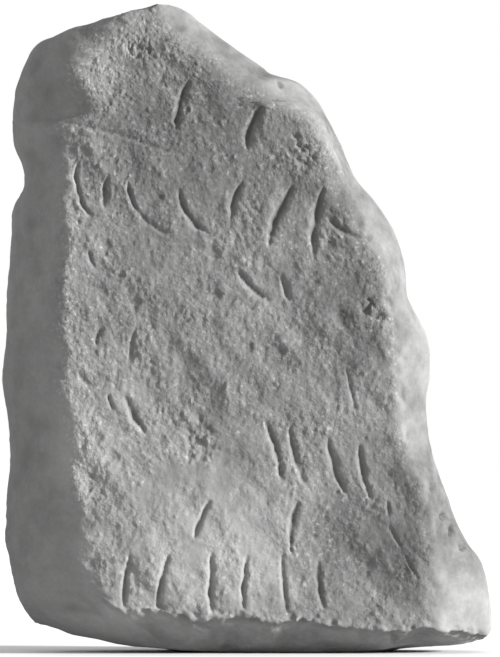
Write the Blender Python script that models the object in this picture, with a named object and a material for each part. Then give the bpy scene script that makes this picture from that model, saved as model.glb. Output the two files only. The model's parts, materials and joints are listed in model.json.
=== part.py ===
"""A weathered boulder slab with rows of shallow cut strokes on its flattish front face.

Metres, +Z up, the carved face towards -Y, the origin under the middle of the stone on the ground.
The stone is one loft of closed rings. Each ring runs round the slab: left flank, front arris, carved
face, right arris, right bevel and rounded back. The rings start as a slanted loop round the foot, follow
the lower arris, turn level up the face and close at the peak. Free curves are drawn as shares of the
stone's own height and width, and everything else is a size in metres.
"""

import math

import bmesh
import bpy
import numpy as np

# Overall size of the stone.
HEIGHT = 0.600
WIDTH = 0.4535
DEPTH = 0.200

# Roundings and the flat that the stone stands on.
ARRIS_ROUNDING = 0.009
FLANK_ROUNDING = 0.030
LARGEST_TURN = 0.30
BASE_LEFT = 0.35
BASE_RIGHT = 0.79
BASE_FRONT_INSET = 0.016
BASE_BACK_INSET = 0.022
BAND_SETBACK = 0.046
PEAK_ROLL = 0.026

# Cut strokes.
STROKE_WIDTH = 0.0085
STROKE_DEPTH = 0.0042
STROKE_SIDES = 8
STROKE_STATIONS = 6

# Mesh density: columns for each stretch of a ring, and rows for each band of rings.
FLANK_COLUMNS = 6
CORNER_COLUMNS = 2
FACE_COLUMNS = 18
BACK_COLUMNS = 18
BAND_ROWS = 4
LOWER_ROWS = 14
UPPER_ROWS = 26

STONE_GREY = (0.125, 0.125, 0.124, 1.0)
STONE_ROUGHNESS = 0.9

# Outline of the slab seen from the front: (share of height, share of width from the left).
LEFT_OUTLINE = (
    (0.000, 0.210), (0.020, 0.140), (0.035, 0.085), (0.065, 0.042), (0.112, 0.019), (0.151, 0.009),
    (0.205, 0.005), (0.251, 0.009), (0.305, 0.015), (0.367, 0.009), (0.424, 0.000), (0.506, 0.007),
    (0.576, 0.011), (0.645, 0.021), (0.692, 0.026), (0.712, 0.040), (0.746, 0.044), (0.764, 0.036),
    (0.784, 0.024), (0.826, 0.019), (0.876, 0.028), (0.911, 0.046), (0.942, 0.074), (0.958, 0.120),
    (0.968, 0.156), (0.978, 0.211), (0.987, 0.257), (0.996, 0.296), (1.000, 0.320),
)
RIGHT_OUTLINE = (
    (0.000, 0.950), (0.013, 0.975), (0.021, 0.986), (0.032, 0.997), (0.060, 1.000), (0.089, 0.995),
    (0.141, 0.976), (0.179, 0.942), (0.236, 0.911), (0.313, 0.878), (0.383, 0.866), (0.444, 0.874),
    (0.483, 0.870), (0.512, 0.854), (0.545, 0.831), (0.588, 0.825), (0.641, 0.807), (0.696, 0.762),
    (0.733, 0.721), (0.784, 0.690), (0.815, 0.670), (0.865, 0.629), (0.876, 0.613), (0.886, 0.588),
    (0.893, 0.554), (0.904, 0.534), (0.939, 0.465), (0.973, 0.404), (0.991, 0.370), (1.000, 0.335),
)

# Arrises that bound the carved face: (share of height, share of width).
LEFT_ARRIS = (
    (0.000, 0.270), (0.050, 0.225), (0.094, 0.199), (0.140, 0.167), (0.220, 0.152), (0.294, 0.138),
    (0.367, 0.122), (0.483, 0.113), (0.638, 0.120), (0.777, 0.122), (0.811, 0.120), (0.830, 0.158),
    (0.857, 0.155), (0.882, 0.140), (0.919, 0.146), (0.944, 0.185), (0.965, 0.211), (0.985, 0.250),
    (0.995, 0.295), (1.000, 0.324),
)
RIGHT_ARRIS = (
    (0.000, 0.870), (0.038, 0.874), (0.135, 0.876), (0.236, 0.862), (0.328, 0.823), (0.452, 0.807),
    (0.517, 0.805), (0.591, 0.784), (0.665, 0.735), (0.715, 0.700), (0.795, 0.653), (0.838, 0.608),
    (0.860, 0.531), (0.885, 0.486), (0.920, 0.435), (0.954, 0.367), (0.982, 0.334), (1.000, 0.330),
)

# Slanted rings at the foot: (share of width, share of height).
LOWER_ARRIS = (
    (0.000, 0.092), (0.195, 0.090), (0.236, 0.076), (0.302, 0.069), (0.404, 0.055), (0.486, 0.056),
    (0.608, 0.049), (0.731, 0.041), (0.874, 0.037), (1.000, 0.027),
)
FOOT_LINE = (
    (0.000, 0.052), (0.085, 0.040), (0.150, 0.027), (0.199, 0.020), (0.261, 0.012), (0.340, 0.006),
    (0.424, 0.003), (0.520, 0.002), (0.690, 0.002), (0.758, 0.004), (0.796, 0.008), (0.826, 0.014),
    (0.960, 0.015), (1.000, 0.022),
)
LEVEL_RING = 0.36

# How far each line lies behind the front face, as a share of the depth: (share of height, share).
LEFT_SIDE_SETBACK = (
    (0.00, 0.42), (0.10, 0.46), (0.40, 0.46), (0.70, 0.44), (0.85, 0.38), (0.94, 0.28), (0.98, 0.20),
    (1.00, 0.18),
)
RIGHT_SIDE_SETBACK = (
    (0.00, 0.28), (0.06, 0.30), (0.20, 0.26), (0.45, 0.24), (0.70, 0.26), (0.88, 0.26), (0.96, 0.20),
    (1.00, 0.17),
)
BACK_SETBACK = (
    (0.00, 0.84), (0.06, 0.94), (0.20, 1.00), (0.45, 1.00), (0.65, 0.93), (0.80, 0.80), (0.90, 0.60),
    (0.96, 0.45), (0.99, 0.32), (1.00, 0.26),
)
BACK_SQUARENESS = 2.7
PEAK_ROLL_START = 0.88

# How far forward the flanks run before they turn in to the arris, as shares of their depth, and how much
# of their depth and of the back is lost under the foot.
LEFT_FLANK_PULL = 0.62
RIGHT_FLANK_PULL = 0.55
FOOT_TUCK = 0.3

# Swells and hollows of the face: (share of width, share of height, half width, half height, forward by).
FACE_SWELLS = (
    (0.30, 0.12, 0.24, 0.14, 0.014),
    (0.12, 0.50, 0.08, 0.22, 0.005),
    (0.70, 0.17, 0.11, 0.13, -0.009),
    (0.55, 0.42, 0.30, 0.20, 0.003),
    (0.26, 0.91, 0.10, 0.06, -0.004),
    (0.42, 0.78, 0.25, 0.10, -0.003),
)

# Rows of cut strokes. A row has its height at the left edge, its fall across the stone and its strokes.
# A stroke has its place across, its length as a share of the height, its lean in degrees (top to the
# right) and its bow, which is how far its middle stands to the left of its ends, in stroke widths.
STROKE_ROWS = (
    (0.937, 0.250, ((0.371, 0.072, 16, 0.1), (0.516, 0.075, 20, 0.1))),
    (0.733, 0.105, ((0.172, 0.083, -14, 0.6), (0.216, 0.042, 7, 0.1), (0.271, 0.046, -19, 0.2),
                    (0.385, 0.080, -36, 0.5), (0.480, 0.061, 17, 0.1), (0.572, 0.095, 21, 0.1),
                    (0.647, 0.097, 9, 0.1), (0.709, 0.052, -62, 0.4))),
    (0.610, 0.080, ((0.516, 0.068, -46, 0.2), (0.581, 0.032, -16, 0.1))),
    (0.480, -0.080, ((0.200, 0.039, 16, 0.2), (0.289, 0.070, 8, 0.3))),
    (0.470, 0.360, ((0.226, 0.046, -20, 0.1), (0.275, 0.055, -32, 0.2))),
    (0.414, 0.180, ((0.556, 0.096, -15, -0.4), (0.607, 0.084, -15, 0.2), (0.683, 0.072, -17, 0.1),
                    (0.742, 0.068, -12, 0.1))),
    (0.233, 0.060, ((0.416, 0.050, 23, 0.1), (0.505, 0.040, -74, 0.2), (0.603, 0.062, 8, 0.1))),
    (0.118, 0.018, ((0.258, 0.070, 6, 0.1), (0.332, 0.074, 12, 0.1), (0.430, 0.088, 1, 0.0),
                    (0.499, 0.072, 4, 0.1), (0.578, 0.076, -5, 0.0), (0.652, 0.070, -7, 0.1))),
)


def follow(points, place):
    """Read a smooth curve through (place, value) points: cubic pieces that keep one slope at each point."""
    places, values = np.array(points, dtype=float).T
    slopes = np.gradient(values, places)
    place = np.clip(place, places[0], places[-1])
    piece = np.clip(np.searchsorted(places, place, side="right") - 1, 0, len(places) - 2)
    step = places[piece + 1] - places[piece]
    share = (place - places[piece]) / step
    rest = 1.0 - share
    start = values[piece] * (1.0 + 2.0 * share) + slopes[piece] * step * share
    end = values[piece + 1] * (3.0 - 2.0 * share) - slopes[piece + 1] * step * rest
    return start * rest ** 2 + end * share ** 2


def face_forward(across, up):
    """How far the carved face stands in front of its plane, in metres, at a share of width and height."""
    forward = np.zeros(np.broadcast(across, up).shape)
    for middle_across, middle_up, half_width, half_height, rise in FACE_SWELLS:
        reach = ((across - middle_across) / half_width) ** 2 + ((up - middle_up) / half_height) ** 2
        forward = forward + rise * np.exp(-reach)
    near_peak = np.clip((up - PEAK_ROLL_START) / (1.0 - PEAK_ROLL_START), 0.0, 1.0)
    return forward - PEAK_ROLL * near_peak ** 2


def ring_height(level, across):
    """Height share of a ring: level 0 is the foot line, 1 the lower arris, 2 a level ring, 3 the peak."""
    foot = follow(FOOT_LINE, across)
    arris = follow(LOWER_ARRIS, across)
    band = foot + (arris - foot) * level
    lower_face = arris + (LEVEL_RING - arris) * (level - 1.0)
    upper_face = LEVEL_RING + (1.0 - LEVEL_RING) * (level - 2.0) + 0.0 * across
    return np.where(level < 1.0, band, np.where(level < 2.0, lower_face, upper_face))


def at_height(curve, level, guess):
    """Read a curve of the height where the ring itself crosses it, by trying the place it gives once more."""
    place = follow(curve, ring_height(level, guess))
    return follow(curve, ring_height(level, place))


def bend(start, corner, end, shares):
    """Points on the quadratic curve from start to end that is pulled towards the corner."""
    rest = 1.0 - shares
    return start * rest ** 2 + corner * 2.0 * rest * shares + end * shares ** 2


def flank(outline, outline_behind, arris, arris_behind, pull, shares):
    """Points of a flank, as it curves from the outline (share 0) forward and in to the arris (share 1)."""
    corner_behind = arris_behind + pull * (outline_behind - arris_behind)
    return bend(outline, outline, arris, shares), bend(outline_behind, corner_behind, arris_behind, shares)


def half_round(left, left_behind, right, right_behind, back, columns):
    """Points of the back: half a superellipse from the right outline round to the left outline."""
    angle = np.linspace(0.0, math.pi, columns + 1)[None, :-1]
    power = 2.0 / BACK_SQUARENESS
    swing = np.sign(np.cos(angle)) * np.abs(np.cos(angle)) ** power
    side_behind = right_behind + (left_behind - right_behind) * angle / math.pi
    across = 0.5 * (left + right) + 0.5 * (right - left) * swing
    return across, side_behind + (back - side_behind) * np.sin(angle) ** power


def rings(levels, flank_columns, corner_columns, face_columns, back_columns):
    """Across, behind and up of every ring point, as arrays with one row for each level.

    A ring is six stretches: the left flank curves from the left outline to the arris, a short bend
    turns it on to the face, the face crosses to the right arris, a bend and the right flank lead to
    the right outline, and half a superellipse closes the back.
    """
    level = np.asarray(levels, dtype=float)[:, None]
    left = at_height(LEFT_OUTLINE, level, 0.03)
    left_arris = at_height(LEFT_ARRIS, level, 0.20)
    right_arris = at_height(RIGHT_ARRIS, level, 0.87)
    right = at_height(RIGHT_OUTLINE, level, 0.98)

    below = np.clip(1.0 - level, 0.0, 1.0)
    band = BAND_SETBACK * below
    tucked = DEPTH * (1.0 - FOOT_TUCK * below)
    left_behind = band * below + tucked * follow(LEFT_SIDE_SETBACK, ring_height(level, left))
    right_behind = band + tucked * follow(RIGHT_SIDE_SETBACK, ring_height(level, right))
    back = DEPTH * follow(BACK_SETBACK, ring_height(level, 0.5 * (left + right))) - FOOT_TUCK * band

    def face_behind(across):
        return band - face_forward(across, ring_height(level, across))

    rounding = ARRIS_ROUNDING + FLANK_ROUNDING * below
    turn = np.minimum(rounding / WIDTH, LARGEST_TURN * (right_arris - left_arris))
    straight = 1.0 - np.minimum(rounding / (0.5 * DEPTH), LARGEST_TURN)
    flank_shares = np.linspace(0.0, 1.0, flank_columns + 1)[None, :] * straight
    bend_shares = np.linspace(0.0, 1.0, corner_columns + 1)[None, :]
    face_shares = np.linspace(0.0, 1.0, face_columns + 1)[None, :]

    left_arris_behind = face_behind(left_arris)
    right_arris_behind = face_behind(right_arris)
    left_flank = flank(left, left_behind, left_arris, left_arris_behind, LEFT_FLANK_PULL, flank_shares)
    right_flank = flank(right, right_behind, right_arris, right_arris_behind, RIGHT_FLANK_PULL,
                        flank_shares[:, ::-1])
    face = left_arris + turn + (right_arris - left_arris - 2.0 * turn) * face_shares
    face_depth = face_behind(face)
    left_bend = (bend(left_flank[0][:, -1:], left_arris, face[:, :1], bend_shares),
                 bend(left_flank[1][:, -1:], left_arris_behind, face_depth[:, :1], bend_shares))
    right_bend = (bend(face[:, -1:], right_arris, right_flank[0][:, :1], bend_shares),
                  bend(face_depth[:, -1:], right_arris_behind, right_flank[1][:, :1], bend_shares))
    round_back = half_round(left, left_behind, right, right_behind, back, back_columns)

    # Each stretch ends where the next begins, so its last point is left to the next.
    stretches = (left_flank, left_bend, (face, face_depth), right_bend, right_flank)
    across = np.hstack([stretch[0][:, :-1] for stretch in stretches] + [round_back[0]])
    behind = np.hstack([stretch[1][:, :-1] for stretch in stretches] + [round_back[1]])
    return across, behind, ring_height(level, across)


def base_ring(across, behind):
    """The rim of the flat that the stone stands on: the foot ring drawn in towards the base's middle."""
    low, high = across.min(), across.max()
    front, back = behind.min(), behind.max()
    rim_across = BASE_LEFT + (BASE_RIGHT - BASE_LEFT) * (across - low) / (high - low)
    rim_front = front + BASE_FRONT_INSET
    rim_back = back - BASE_BACK_INSET
    rim_behind = rim_front + (rim_back - rim_front) * (behind - front) / (back - front)
    return rim_across, rim_behind, np.zeros_like(across)


def ring_levels():
    """Levels of the rings, closer together where the band meets the face and towards the peak."""
    band = np.linspace(0.0, 1.0, BAND_ROWS, endpoint=False)
    lower = 1.0 + np.linspace(0.0, 1.0, LOWER_ROWS, endpoint=False) ** 1.15
    upper = 2.0 + np.sin(np.linspace(0.0, 0.5 * math.pi, UPPER_ROWS + 1)[:-1])
    return np.concatenate((band, lower, upper))


def stone_points():
    """Points of all rings and of the peak, in shares across and up and in metres behind the face's plane."""
    across, behind, up = rings(ring_levels(), FLANK_COLUMNS, CORNER_COLUMNS, FACE_COLUMNS, BACK_COLUMNS)
    rim_across, rim_behind, rim_up = base_ring(across[0], behind[0])
    across = np.vstack((rim_across, across))
    behind = np.vstack((rim_behind, behind))
    up = np.vstack((rim_up, up))
    peak = np.array((across[-1].mean(), behind[-1].mean(), 1.0))
    return np.stack((across, behind, up), axis=-1), peak


def fit(points, low, high):
    """Bring points to metres so that the stone's corners, low and high, span its width, depth and height."""
    return ((points - low) / (high - low) - (0.5, 0.5, 0.0)) * (WIDTH, DEPTH, HEIGHT)


def new_object(name, mesh, collection, material=None):
    """Put a mesh into a collection as a named object, with a material if one is given."""
    thing = bpy.data.objects.new(name, mesh)
    collection.objects.link(thing)
    if material is not None:
        mesh.materials.append(material)
    return thing


def build_stone(collection, material, points, peak):
    """Loft the rings into one closed body: quads between rings, a flat base and a fan at the peak."""
    rows, columns = points.shape[:2]
    mesh = bpy.data.meshes.new("inscribed_stone")
    form = bmesh.new()
    loops = [[form.verts.new(point) for point in ring] for ring in points]
    tip = form.verts.new(peak)
    for lower, upper in zip(loops, loops[1:]):
        for column in range(columns):
            beside = (column + 1) % columns
            form.faces.new((lower[column], lower[beside], upper[beside], upper[column]))
    for column in range(columns):
        form.faces.new((loops[-1][column], loops[-1][(column + 1) % columns], tip))
    form.faces.new(reversed(loops[0]))
    form.to_mesh(mesh)
    form.free()
    return new_object("inscribed_stone", mesh, collection, material)


def build_stroke(name, collection, across, up, stroke, low, high):
    """Make the cutter of one stroke: a round bar with blunt ends, bowed, laid half into the face.

    A ball is filled out towards its ends, stretched to the stroke's length, width and depth, and leaned
    over. Each point is then set off from the face's own surface, so that the cut keeps one depth.
    """
    place, length, lean, bow = stroke
    form = bmesh.new()
    bmesh.ops.create_uvsphere(form, u_segments=STROKE_SIDES, v_segments=STROKE_STATIONS, radius=1.0)
    ball = np.array([vertex.co for vertex in form.verts])
    girth = np.sqrt(np.maximum(1.0 - ball[:, 2] ** 2, 0.0))
    fuller = np.where(girth > 0.01, 1.0 / np.sqrt(np.maximum(girth, 0.01)), 0.0)
    along = ball[:, 2] * 0.5 * length * HEIGHT
    sideways = (0.5 * ball[:, 0] * fuller - bow * girth ** 2) * STROKE_WIDTH
    turn = math.radians(lean)
    point_across = across + (sideways * math.cos(turn) + along * math.sin(turn)) / WIDTH
    point_up = up + (along * math.cos(turn) - sideways * math.sin(turn)) / HEIGHT
    surface = -face_forward(point_across, point_up)
    points = fit(np.stack((point_across, surface, point_up), axis=-1), low, high)
    points[:, 1] += ball[:, 1] * fuller * STROKE_DEPTH
    for vertex, point in zip(form.verts, points):
        vertex.co = point
    bmesh.ops.recalc_face_normals(form, faces=form.faces)
    mesh = bpy.data.meshes.new(name)
    form.to_mesh(mesh)
    form.free()
    cutter = new_object(name, mesh, collection)
    cutter.hide_render = True
    cutter.display_type = "WIRE"


def build_strokes(collection, low, high):
    """Make the cutters of all rows of strokes."""
    for row, (height, fall, strokes) in enumerate(STROKE_ROWS, start=1):
        for number, stroke in enumerate(strokes, start=1):
            up = height - fall * stroke[0]
            build_stroke(f"stroke_{row}_{number}", collection, stroke[0], up, stroke, low, high)


def cut_strokes(stone, collection):
    """Cut every stroke out of the stone."""
    cut = stone.modifiers.new("cut_strokes", "BOOLEAN")
    cut.operation = "DIFFERENCE"
    cut.operand_type = "COLLECTION"
    cut.collection = collection
    cut.solver = "EXACT"


def stone_material():
    """Grey, rough, weathered stone."""
    material = bpy.data.materials.new("weathered_stone")
    material.use_nodes = True
    surface = material.node_tree.nodes["Principled BSDF"]
    surface.inputs["Base Color"].default_value = STONE_GREY
    surface.inputs["Roughness"].default_value = STONE_ROUGHNESS
    surface.inputs["Metallic"].default_value = 0.0
    return material


def new_collection(name):
    """Add a collection to the scene."""
    collection = bpy.data.collections.new(name)
    bpy.context.scene.collection.children.link(collection)
    return collection


def main():
    for thing in list(bpy.data.objects):
        bpy.data.objects.remove(thing, do_unlink=True)
    model = new_collection("inscribed_stone")
    cutters = new_collection("stroke_cutters")

    points, peak = stone_points()
    every = np.vstack((points.reshape(-1, 3), peak))
    low = every.min(axis=0)
    high = every.max(axis=0)
    stone = build_stone(model, stone_material(), fit(points, low, high), fit(peak, low, high))
    build_strokes(cutters, low, high)
    cut_strokes(stone, cutters)


main()
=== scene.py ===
"""Dresses the inscribed stone: one weathered slab with cut strokes, on a pale floor in soft studio light.

The slab is worked out on a grid of rings and columns, in the same shares of height and width as the solid
that it stands for, and is then given its strokes, pits, grain and worn edges. Metres, +Z up.
"""

import json
import math
from types import SimpleNamespace

import bpy
import numpy as np
from bpy.props import FloatProperty, FloatVectorProperty, IntProperty, PointerProperty
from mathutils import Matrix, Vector


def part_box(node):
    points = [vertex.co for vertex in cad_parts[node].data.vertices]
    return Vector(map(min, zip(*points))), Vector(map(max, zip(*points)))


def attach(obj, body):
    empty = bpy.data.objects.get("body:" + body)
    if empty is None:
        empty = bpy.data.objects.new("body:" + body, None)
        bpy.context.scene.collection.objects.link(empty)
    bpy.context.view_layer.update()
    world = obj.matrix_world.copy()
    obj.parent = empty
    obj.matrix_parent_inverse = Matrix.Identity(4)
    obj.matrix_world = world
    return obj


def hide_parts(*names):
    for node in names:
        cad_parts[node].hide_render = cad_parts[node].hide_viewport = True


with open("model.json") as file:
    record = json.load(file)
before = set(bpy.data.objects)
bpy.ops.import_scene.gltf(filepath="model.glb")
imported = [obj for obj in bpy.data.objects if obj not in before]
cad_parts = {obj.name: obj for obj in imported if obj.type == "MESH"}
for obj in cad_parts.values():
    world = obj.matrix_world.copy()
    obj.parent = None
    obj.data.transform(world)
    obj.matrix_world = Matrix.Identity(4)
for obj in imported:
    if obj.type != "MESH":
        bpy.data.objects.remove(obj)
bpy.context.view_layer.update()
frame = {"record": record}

bl_info = {
    "name": "Inscribed Stone",
    "version": (1, 0, 0),
    "blender": (4, 5, 0),
    "location": "3D View > Sidebar > Stone",
    "description": "Builds a weathered stone slab with rows of cut strokes, its finish and its studio",
    "category": "Add Mesh",
}

NODE = "inscribed_stone"
STONE_GREY = tuple(frame["record"]["materials"][0]["base_color"][:3])
LOW, HIGH = (np.array(corner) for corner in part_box(NODE))
WIDTH, DEPTH, HEIGHT = HIGH - LOW

# Form of the rings, the foot and the flat base, in metres (m) and in shares.
FLANK_ROUNDING = 0.030  # extra rounding of the side arrises at the foot, m
LARGEST_TURN = 0.30  # most of the face, or of a flank, that a bend takes up
BASE_LEFT = 0.35  # ends of the flat base across the width
BASE_RIGHT = 0.79
BASE_FRONT_INSET = 0.016  # base behind the front of the foot, m
BASE_BACK_INSET = 0.022  # base before the back of the foot, m
UNDERSIDE_RISE = 0.7  # power of the curve from the base up to the foot
BAND_SETBACK = 0.046  # foot behind the lower arris, m
PEAK_ROLL = 0.026  # how far the face rolls back at the peak, m
PEAK_ROLL_START = 0.88  # height where that roll begins
BACK_SQUARENESS = 2.7  # power of the superellipse of the back
LEFT_FLANK_PULL = 0.62  # where a flank bends most, from its arris at 0 to its outline at 1
RIGHT_FLANK_PULL = 0.55
FOOT_TUCK = 0.3  # how much the sides and the back of the foot are drawn forward
EASING = 0.3  # how gently that begins under the lower arris
LEVEL_RING = 0.36  # height of the first level ring

# Grid of the slab: columns for each stretch of a ring, and rows for each band of rings.
LEFT_FLANK_COLUMNS = 14
RIGHT_FLANK_COLUMNS = 32
CORNER_COLUMNS = 5
FACE_COLUMNS = 216
BACK_COLUMNS = 34
BASE_ROWS = 6
BAND_ROWS = 18
LOWER_ROWS = 90
UPPER_ROWS = 208
LOWER_CROWDING = 1.08  # a power over 1 draws the lower rings towards the lower arris
LEAN_CROWDING = 0.6  # how much closer the upper rings lie where the arrises lean

# Outline of the slab seen from the front: (share of height, share of width from the left).
LEFT_OUTLINE = (
    (0.0, 0.21), (0.02, 0.14), (0.035, 0.085), (0.065, 0.042), (0.112, 0.019), (0.151, 0.009),
    (0.205, 0.005), (0.251, 0.009), (0.305, 0.015), (0.367, 0.009), (0.424, 0.0), (0.506, 0.007),
    (0.576, 0.011), (0.645, 0.021), (0.692, 0.026), (0.712, 0.04), (0.746, 0.044), (0.764, 0.036),
    (0.784, 0.024), (0.826, 0.019), (0.876, 0.028), (0.911, 0.046), (0.942, 0.074), (0.958, 0.12),
    (0.968, 0.156), (0.978, 0.211), (0.987, 0.257), (0.996, 0.296), (1.0, 0.32),
)
RIGHT_OUTLINE = (
    (0.0, 0.95), (0.013, 0.975), (0.021, 0.986), (0.032, 0.997), (0.06, 1.0), (0.089, 0.995),
    (0.141, 0.976), (0.179, 0.942), (0.236, 0.911), (0.313, 0.878), (0.383, 0.866), (0.444, 0.874),
    (0.483, 0.87), (0.512, 0.854), (0.545, 0.831), (0.588, 0.825), (0.641, 0.807), (0.696, 0.762),
    (0.733, 0.721), (0.784, 0.69), (0.815, 0.67), (0.865, 0.629), (0.876, 0.613), (0.886, 0.588),
    (0.893, 0.554), (0.904, 0.534), (0.939, 0.465), (0.973, 0.404), (0.991, 0.37), (1.0, 0.335),
)

# Arrises that bound the carved face: (share of height, share of width).
LEFT_ARRIS = (
    (0.0, 0.27), (0.05, 0.225), (0.094, 0.199), (0.14, 0.167), (0.22, 0.152), (0.294, 0.138),
    (0.367, 0.122), (0.483, 0.113), (0.638, 0.12), (0.777, 0.122), (0.811, 0.12), (0.83, 0.158),
    (0.857, 0.155), (0.882, 0.14), (0.919, 0.146), (0.944, 0.185), (0.965, 0.211), (0.985, 0.25),
    (0.995, 0.295), (1.0, 0.324),
)
RIGHT_ARRIS = (
    (0.0, 0.87), (0.038, 0.874), (0.135, 0.876), (0.236, 0.862), (0.328, 0.823), (0.452, 0.807),
    (0.517, 0.805), (0.591, 0.784), (0.665, 0.735), (0.715, 0.7), (0.795, 0.653), (0.838, 0.608),
    (0.86, 0.531), (0.885, 0.486), (0.92, 0.435), (0.954, 0.367), (0.982, 0.334), (1.0, 0.33),
)

# Slanted rings at the foot: (share of width, share of height).
LOWER_ARRIS = (
    (0.0, 0.092), (0.195, 0.09), (0.236, 0.076), (0.302, 0.069), (0.404, 0.055), (0.486, 0.056),
    (0.608, 0.049), (0.731, 0.041), (0.874, 0.037), (1.0, 0.027),
)
FOOT_LINE = (
    (0.0, 0.052), (0.085, 0.04), (0.15, 0.027), (0.199, 0.02), (0.261, 0.012), (0.34, 0.006),
    (0.424, 0.003), (0.52, 0.002), (0.69, 0.002), (0.758, 0.004), (0.796, 0.008), (0.826, 0.014),
    (0.96, 0.015), (1.0, 0.022),
)

# How far each line lies behind the front face, as a share of the depth: (share of height, share).
LEFT_SIDE_SETBACK = (
    (0.0, 0.42), (0.1, 0.46), (0.4, 0.46), (0.7, 0.44), (0.85, 0.38), (0.94, 0.28), (0.98, 0.2),
    (1.0, 0.18),
)
RIGHT_SIDE_SETBACK = (
    (0.0, 0.28), (0.06, 0.3), (0.2, 0.26), (0.45, 0.24), (0.7, 0.26), (0.88, 0.26), (0.96, 0.2),
    (1.0, 0.17),
)
BACK_SETBACK = (
    (0.0, 0.84), (0.06, 0.94), (0.2, 1.0), (0.45, 1.0), (0.65, 0.93), (0.8, 0.8), (0.9, 0.6),
    (0.96, 0.45), (0.99, 0.32), (1.0, 0.26),
)

# Rounding of the arrises in metres: (share of height, rounding).
LEFT_ROUNDING = (
    (0.0, 0.009), (0.3, 0.009), (0.6, 0.009), (0.76, 0.01), (0.87, 0.018), (0.94, 0.017),
    (1.0, 0.01),
)
RIGHT_ROUNDING = (
    (0.0, 0.009), (0.3, 0.009), (0.48, 0.009), (0.64, 0.012), (0.8, 0.016), (0.86, 0.025),
    (0.92, 0.02), (1.0, 0.012),
)

# Places where the grain of the face runs on past its arrises: (across, up, half width, half height, by).
GRAINY_EDGES = (
    (0.580, 0.865, 0.080, 0.040, 1.1),
    (0.440, 0.930, 0.060, 0.030, 0.5),
    (0.680, 0.740, 0.040, 0.050, 0.5),
    (0.190, 0.972, 0.060, 0.030, 2.6),
)

# Swells and hollows of the face: (share of width, share of height, half width, half height, forward by).
FACE_SWELLS = (
    (0.30, 0.12, 0.24, 0.14, 0.014),
    (0.12, 0.50, 0.08, 0.22, 0.005),
    (0.70, 0.17, 0.11, 0.13, -0.009),
    (0.55, 0.42, 0.30, 0.20, 0.003),
    (0.26, 0.91, 0.10, 0.06, -0.004),
    (0.42, 0.78, 0.25, 0.10, -0.003),
)

# Rows of cut strokes. A row has its height at the left edge, its fall across the stone and its strokes.
# A stroke has its place across, its length as a share of the height, its lean in degrees (top to the
# right), its bow, which is how far its middle stands to the left of its ends, in stroke widths, and its
# own width, in stroke widths. All are cut a little longer, because they grow shallow at their ends.
STROKE_ROWS = (
    (0.937, 0.250, ((0.371, 0.074, 16, 0.1, 1.1), (0.516, 0.068, 20, 0.1, 1.2))),
    (0.733, 0.105, (
        (0.172, 0.083, -14, 0.6, 0.8), (0.216, 0.046, 7, 0.1, 0.8), (0.271, 0.046, -19, 0.2, 0.8),
        (0.572, 0.098, 21, 0.1, 1.3), (0.647, 0.099, 9, 0.1, 1.2), (0.711, 0.074, -66, 0.5, 0.9),
    )),
    (0.722, 0.105, ((0.396, 0.080, -36, 0.5, 1.0),)),
    (0.747, 0.105, ((0.480, 0.058, 17, 0.1, 1.0),)),
    (0.610, 0.080, ((0.516, 0.068, -46, 0.2, 1.0), (0.581, 0.040, -16, 0.1, 0.8))),
    (0.470, 0.360, ((0.226, 0.028, -20, 0.1, 0.6), (0.275, 0.060, -30, 0.0, 1.4))),
    (0.414, 0.180, (
        (0.553, 0.096, -15, -0.4, 1.0), (0.607, 0.092, -15, 0.2, 1.0), (0.683, 0.084, -17, 0.1, 1.0),
        (0.742, 0.080, -12, 0.1, 1.0),
    )),
    (0.233, 0.060, ((0.412, 0.060, 23, 0.1, 0.8), (0.600, 0.076, 8, 0.1, 1.0))),
    (0.118, 0.018, (
        (0.258, 0.078, 6, 0.1, 0.8), (0.332, 0.084, 12, 0.1, 0.8), (0.430, 0.096, 1, 0.0, 0.9),
        (0.499, 0.084, 4, 0.1, 0.8), (0.578, 0.086, -5, 0.0, 0.8), (0.652, 0.078, -7, 0.1, 0.8),
    )),
)
STROKE_STRETCH = 1.06

# The picture: the stone's height in pixels, the picture's middle in pixels right of the stone's middle
# and above its base, and how far behind the front the outline lies that the picture is framed on.
STONE_PIXELS = 647.0
MIDDLE_PIXEL = (3.0, 324.0)
OUTLINE_SETBACK = 0.07

# Wander of the arrises: how far it goes and how long its lumps are, in metres, its layers, and the share
# of the height over which it dies out at the peak.
SIDE_WANDER = 0.0035
LOWER_WANDER = 0.0020
ARRIS_LUMP = 0.028
ARRIS_LAYERS = 3
STEADY_PEAK = 0.08
LEFT_ARRIS_SEED = 101
RIGHT_ARRIS_SEED = 111
LOWER_ARRIS_SEED = 121

# Low ripples of the face: their lean below the level in degrees, their length, width and height in
# metres, and the share of that height that they keep beyond the face.
RIPPLE_LEAN = 48.0
RIPPLE_LENGTH = 0.110
RIPPLE_WIDTH = 0.034
RIPPLE_HEIGHT = 0.0024
RIPPLES_BEYOND = 0.2
RIPPLE_SEED = 91

# Section of a stroke: where it is deepest, from -1 at its left edge to 1 at its right edge, and how soon
# its walls grow steep on the way down. A wall of power 1 would be straight.
DEEPEST = -0.40
LEFT_WALL_POWER = 1.3
RIGHT_WALL_POWER = 2.1

# Ends of a stroke: how suddenly it ends, its width there as a share, and the powers by which it narrows
# and grows shallow. Then how uneven its ends, its edges and its depth are.
END_SHARPNESS = 3.0
END_WIDTH = 0.30
NARROWING = 0.7
SHALLOWING = 0.5
UNEVEN_ENDS = 0.08
UNEVEN_EDGES = 0.14
UNEVEN_DEPTH = 0.2

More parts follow.
